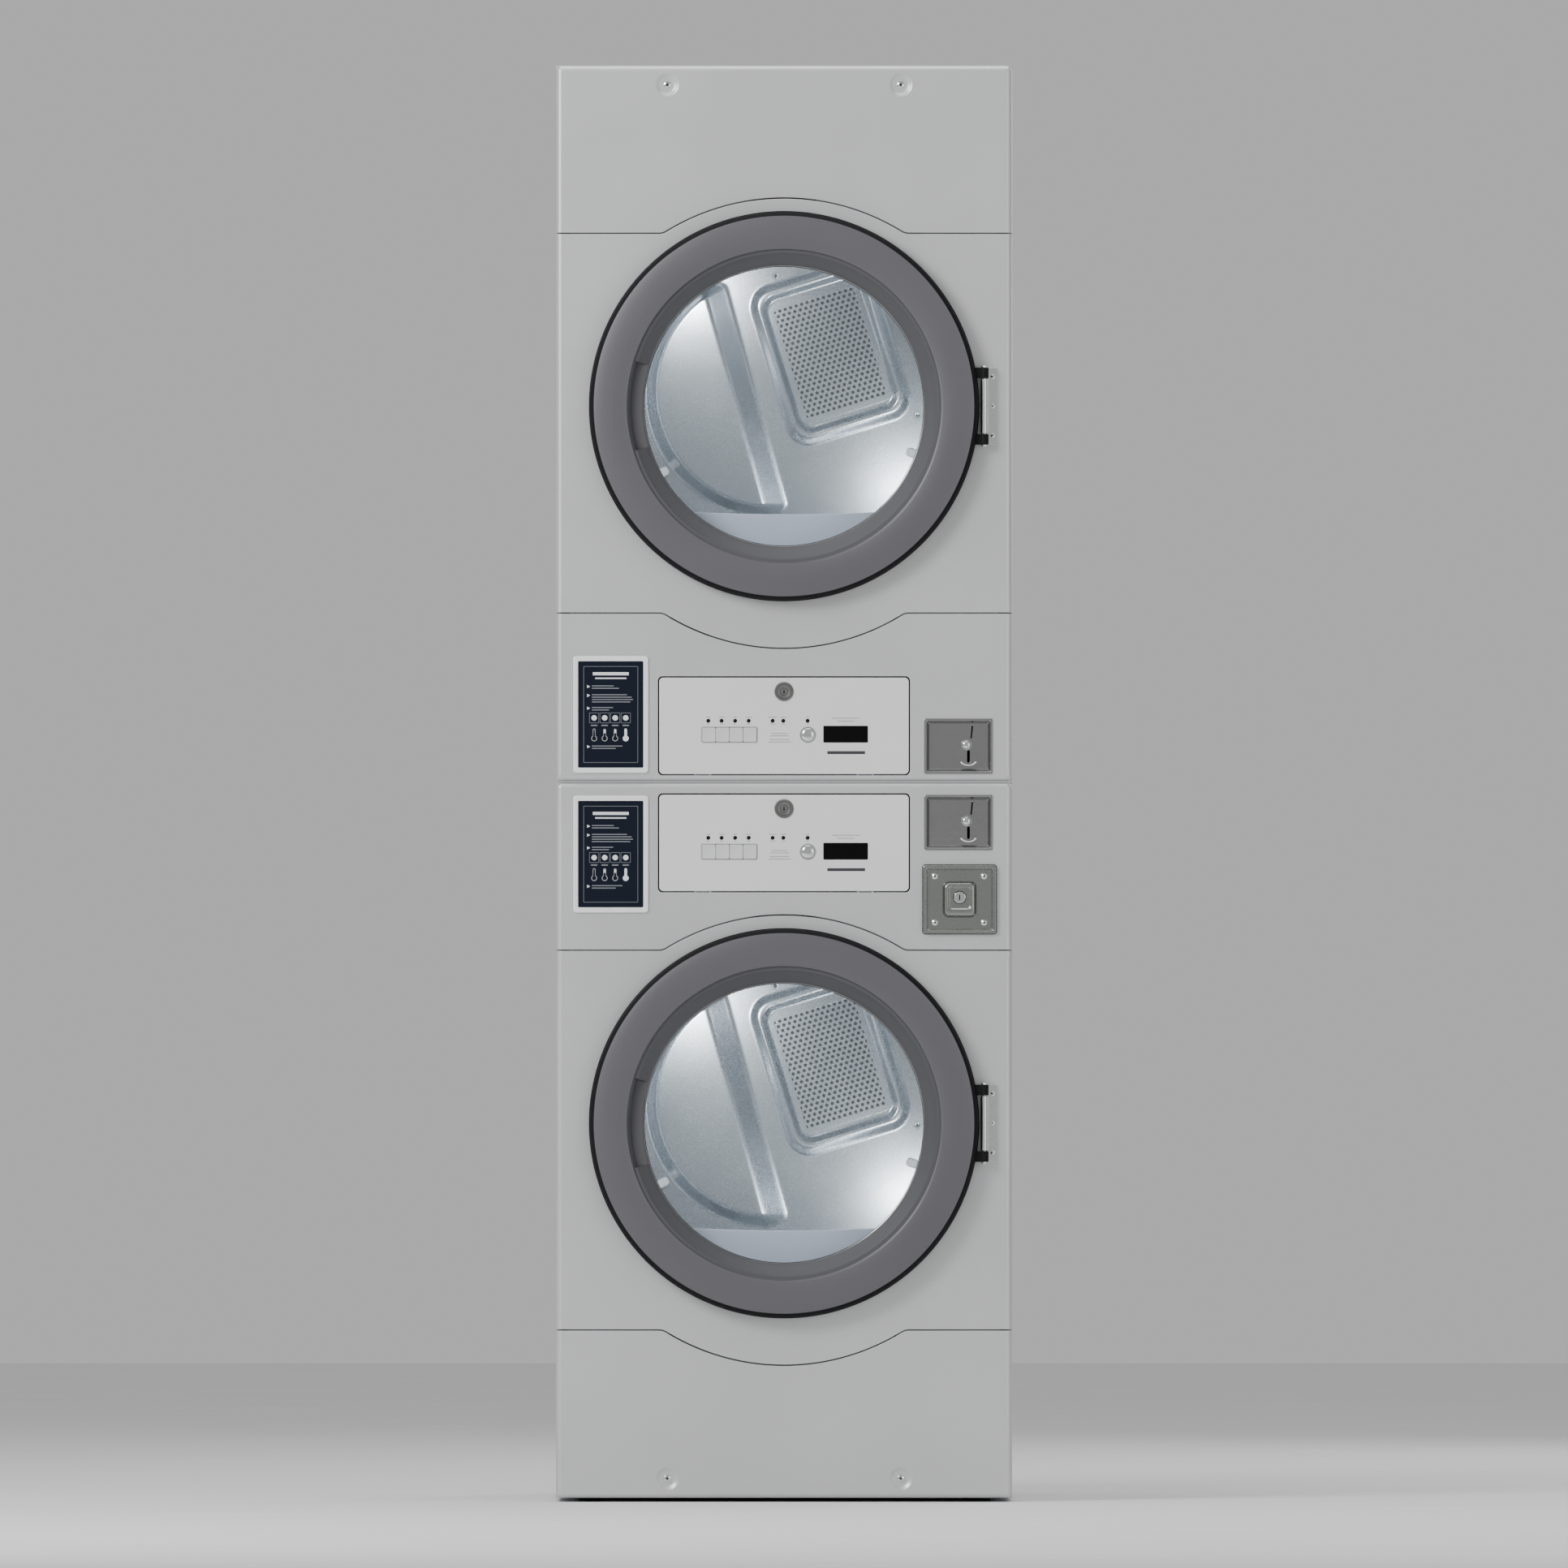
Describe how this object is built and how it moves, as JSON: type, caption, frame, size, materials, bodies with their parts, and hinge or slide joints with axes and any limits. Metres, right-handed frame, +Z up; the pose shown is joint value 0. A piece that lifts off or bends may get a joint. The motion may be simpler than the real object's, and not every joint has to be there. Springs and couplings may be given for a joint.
{
  "type": "stacked tumble dryer",
  "caption": "Coin-operated stacked tumble dryer: drying units one on the other, round glazed doors, coin entry, locked control flap and rear exhaust collars.",
  "frame": {"origin": "on the floor, under the middle of the machine's overall width and depth", "axes": "+Z up, the doors face -Y, +X is to the right seen from the front"},
  "size_m": [0.686, 0.8, 2.16],
  "materials": {
    "silver_paint": "satin metallic silver powder coat",
    "panel_paint": "satin light silver",
    "zinc_sheet": "zinc-coated sheet steel",
    "door_plastic": "satin dark grey, lightly textured",
    "door_glass": "clear tempered glass",
    "stainless": "brushed stainless steel",
    "chrome": "polished plated metal",
    "key_plastic": "matt light grey",
    "filter_plastic": "matt lavender grey",
    "motor_steel": "plain motor enamel",
    "black_plastic": "moulded black",
    "rubber": "ribbed belt rubber"
  },
  "bodies": {
    "machine": {"lower_cabinet": "silver_paint", "lower_service_panel": "silver_paint", "lower_door_surround": "silver_paint", "lower_control_fascia": "silver_paint", "lower_instruction_plate": "zinc_sheet", "lower_coin_plate": "stainless", "lower_door_hinge": "chrome", "lower_front_bulkhead": "zinc_sheet", "lower_rear_bulkhead": "zinc_sheet", "lower_heater": "zinc_sheet", "lower_motor": "motor_steel", "lower_blower_housing": "zinc_sheet", "lower_drive_belt": "rubber", "upper_cabinet": "silver_paint", "upper_service_panel": "silver_paint", "upper_door_surround": "silver_paint", "upper_control_fascia": "silver_paint", "upper_instruction_plate": "zinc_sheet", "upper_coin_plate": "stainless", "upper_door_hinge": "chrome", "upper_front_bulkhead": "zinc_sheet", "upper_rear_bulkhead": "zinc_sheet", "upper_heater": "zinc_sheet", "upper_motor": "motor_steel", "upper_blower_housing": "zinc_sheet", "upper_drive_belt": "rubber", "base_pan": "zinc_sheet", "stack_deck": "zinc_sheet", "foot_front_left": "black_plastic", "foot_front_right": "black_plastic", "foot_rear_left": "black_plastic", "foot_rear_right": "black_plastic"},
    "lower_door": {"lower_door_ring": "door_plastic", "lower_door_glass": "door_glass"},
    "lower_drum": {"lower_drum": "zinc_sheet"},
    "lower_rotor": {"lower_motor_rotor": "motor_steel"},
    "lower_panel": {"lower_control_panel": "panel_paint"},
    "lower_lock": {"lower_panel_lock": "chrome"},
    "lower_key_1": {"lower_key_1": "key_plastic"},
    "lower_key_2": {"lower_key_2": "key_plastic"},
    "lower_key_3": {"lower_key_3": "key_plastic"},
    "lower_key_4": {"lower_key_4": "key_plastic"},
    "lower_start": {"lower_start_button": "chrome"},
    "lower_coin_return": {"lower_coin_return_button": "chrome"},
    "lower_filter": {"lower_lint_filter": "filter_plastic"},
    "upper_door": {"upper_door_ring": "door_plastic", "upper_door_glass": "door_glass"},
    "upper_drum": {"upper_drum": "zinc_sheet"},
    "upper_rotor": {"upper_motor_rotor": "motor_steel"},
    "upper_panel": {"upper_control_panel": "panel_paint"},
    "upper_lock": {"upper_panel_lock": "chrome"},
    "upper_key_1": {"upper_key_1": "key_plastic"},
    "upper_key_2": {"upper_key_2": "key_plastic"},
    "upper_key_3": {"upper_key_3": "key_plastic"},
    "upper_key_4": {"upper_key_4": "key_plastic"},
    "upper_start": {"upper_start_button": "chrome"},
    "upper_coin_return": {"upper_coin_return_button": "chrome"},
    "upper_filter": {"upper_lint_filter": "filter_plastic"},
    "coin_box": {"coin_box": "stainless"},
    "coin_lock": {"coin_box_lock": "chrome"}
  },
  "joints": [
    {"name": "lower_door_hinge", "type": "hinge", "parent": "machine", "child": "lower_door", "pos_m": [0.301, -0.381, 0.5695], "axis": [0, 0, 1], "range_deg": [0, 160]},
    {"name": "lower_drum_spin", "type": "hinge", "parent": "machine", "child": "lower_drum", "pos_m": [0, 0, 0.5695], "axis": [0, 1, 0], "continuous": true},
    {"name": "lower_rotor_spin", "type": "hinge", "parent": "machine", "child": "lower_rotor", "pos_m": [0.1, 0, 0.144], "axis": [0, 1, 0], "continuous": true},
    {"name": "lower_panel_flap", "type": "hinge", "parent": "machine", "child": "lower_panel", "pos_m": [0, -0.359, 0.92], "axis": [1, 0, 0], "range_deg": [0, 70]},
    {"name": "lower_lock_turn", "type": "hinge", "parent": "lower_panel", "child": "lower_lock", "pos_m": [0, -0.362, 1.0425], "axis": [0, -1, 0], "range_deg": [0, 90]},
    {"name": "lower_key_1_press", "type": "slide", "parent": "lower_panel", "child": "lower_key_1", "axis": [0, 1, 0], "range_m": [0, 0.0015], "stiffness_N_per_m": 800, "springref_m": -0.0015},
    {"name": "lower_key_2_press", "type": "slide", "parent": "lower_panel", "child": "lower_key_2", "axis": [0, 1, 0], "range_m": [0, 0.0015], "stiffness_N_per_m": 800, "springref_m": -0.0015},
    {"name": "lower_key_3_press", "type": "slide", "parent": "lower_panel", "child": "lower_key_3", "axis": [0, 1, 0], "range_m": [0, 0.0015], "stiffness_N_per_m": 800, "springref_m": -0.0015},
    {"name": "lower_key_4_press", "type": "slide", "parent": "lower_panel", "child": "lower_key_4", "axis": [0, 1, 0], "range_m": [0, 0.0015], "stiffness_N_per_m": 800, "springref_m": -0.0015},
    {"name": "lower_start_press", "type": "slide", "parent": "lower_panel", "child": "lower_start", "axis": [0, 1, 0], "range_m": [0, 0.0015], "stiffness_N_per_m": 800, "springref_m": -0.0015},
    {"name": "lower_coin_return_press", "type": "slide", "parent": "machine", "child": "lower_coin_return", "axis": [0, 1, 0], "range_m": [0, 0.005], "stiffness_N_per_m": 400, "springref_m": -0.004},
    {"name": "lower_filter_lift", "type": "slide", "parent": "machine", "child": "lower_filter", "axis": [0, 0, 1], "range_m": [0, 0.13]},
    {"name": "upper_door_hinge", "type": "hinge", "parent": "machine", "child": "upper_door", "pos_m": [0.301, -0.381, 1.6475], "axis": [0, 0, 1], "range_deg": [0, 160]},
    {"name": "upper_drum_spin", "type": "hinge", "parent": "machine", "child": "upper_drum", "pos_m": [0, 0, 1.6475], "axis": [0, 1, 0], "continuous": true},
    {"name": "upper_rotor_spin", "type": "hinge", "parent": "machine", "child": "upper_rotor", "pos_m": [0.1, 0, 1.222], "axis": [0, 1, 0], "continuous": true},
    {"name": "upper_panel_flap", "type": "hinge", "parent": "machine", "child": "upper_panel", "pos_m": [0, -0.359, 1.096], "axis": [1, 0, 0], "range_deg": [0, 70]},
    {"name": "upper_lock_turn", "type": "hinge", "parent": "upper_panel", "child": "upper_lock", "pos_m": [0, -0.362, 1.2185], "axis": [0, -1, 0], "range_deg": [0, 90]},
    {"name": "upper_key_1_press", "type": "slide", "parent": "upper_panel", "child": "upper_key_1", "axis": [0, 1, 0], "range_m": [0, 0.0015], "stiffness_N_per_m": 800, "springref_m": -0.0015},
    {"name": "upper_key_2_press", "type": "slide", "parent": "upper_panel", "child": "upper_key_2", "axis": [0, 1, 0], "range_m": [0, 0.0015], "stiffness_N_per_m": 800, "springref_m": -0.0015},
    {"name": "upper_key_3_press", "type": "slide", "parent": "upper_panel", "child": "upper_key_3", "axis": [0, 1, 0], "range_m": [0, 0.0015], "stiffness_N_per_m": 800, "springref_m": -0.0015},
    {"name": "upper_key_4_press", "type": "slide", "parent": "upper_panel", "child": "upper_key_4", "axis": [0, 1, 0], "range_m": [0, 0.0015], "stiffness_N_per_m": 800, "springref_m": -0.0015},
    {"name": "upper_start_press", "type": "slide", "parent": "upper_panel", "child": "upper_start", "axis": [0, 1, 0], "range_m": [0, 0.0015], "stiffness_N_per_m": 800, "springref_m": -0.0015},
    {"name": "upper_coin_return_press", "type": "slide", "parent": "machine", "child": "upper_coin_return", "axis": [0, 1, 0], "range_m": [0, 0.005], "stiffness_N_per_m": 400, "springref_m": -0.004},
    {"name": "upper_filter_lift", "type": "slide", "parent": "machine", "child": "upper_filter", "axis": [0, 0, 1], "range_m": [0, 0.13]},
    {"name": "coin_box_slide", "type": "slide", "parent": "machine", "child": "coin_box", "axis": [0, -1, 0], "range_m": [0, 0.19]},
    {"name": "coin_lock_turn", "type": "hinge", "parent": "coin_box", "child": "coin_lock", "pos_m": [0.264, -0.362, 0.909], "axis": [0, -1, 0], "range_deg": [0, 90]}
  ],
  "couplings": [
    {"joint": "lower_rotor_spin", "follows": "lower_drum_spin", "ratio": 21.606},
    {"joint": "upper_rotor_spin", "follows": "upper_drum_spin", "ratio": 21.606}
  ]
}
